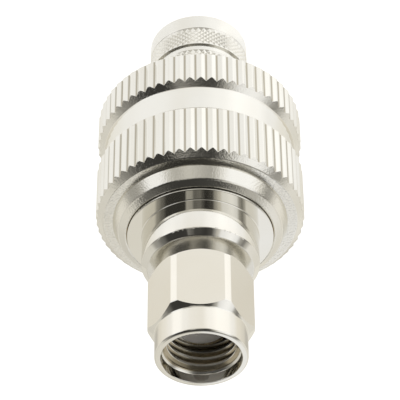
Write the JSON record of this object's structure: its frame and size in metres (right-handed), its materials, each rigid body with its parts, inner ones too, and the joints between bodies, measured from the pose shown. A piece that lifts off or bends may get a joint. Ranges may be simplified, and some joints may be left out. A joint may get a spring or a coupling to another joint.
{
  "type": "sma connector",
  "caption": "Coaxial cable plug with a hexagon coupling nut, a stepped body, a free-turning knurled ring and a diamond-knurled cable stem.",
  "frame": {"origin": "centre of the stem's open end, on the connector's axis", "axes": "+Z along the connector's axis, from the cable stem to the nose; -Y is the side that faces the camera"},
  "size_m": [0.018, 0.018, 0.0359],
  "materials": {
    "body_plate": "bright nickel plate on brass",
    "sleeve_plate": "bright nickel plate on brass",
    "stem_plate": "bright nickel plate on brass",
    "nut_plate": "bright nickel plate on brass",
    "ring_plate": "bright nickel plate on brass",
    "ptfe": "smooth white fluoropolymer",
    "gold_plate": "gold plate on beryllium copper",
    "gasket": "matt silicone rubber",
    "spring_bronze": "plain spring bronze"
  },
  "bodies": {
    "connector": {"body": "body_plate", "nose_sleeve": "sleeve_plate", "cable_stem": "stem_plate", "front_insulator": "ptfe", "rear_insulator": "ptfe", "centre_contact": "gold_plate", "gasket": "gasket", "nut_snap_ring": "spring_bronze", "ring_snap_ring": "spring_bronze"},
    "hex_nut": {"hex_nut": "nut_plate"},
    "coupling_ring": {"coupling_ring": "ring_plate"}
  },
  "joints": [
    {"name": "hex_nut_spin", "type": "hinge", "parent": "connector", "child": "hex_nut", "pos_m": [0, 0, 0.03165], "axis": [0, 0, 1], "continuous": true},
    {"name": "coupling_ring_spin", "type": "hinge", "parent": "connector", "child": "coupling_ring", "pos_m": [0, 0, 0.016], "axis": [0, 0, 1], "continuous": true}
  ]
}
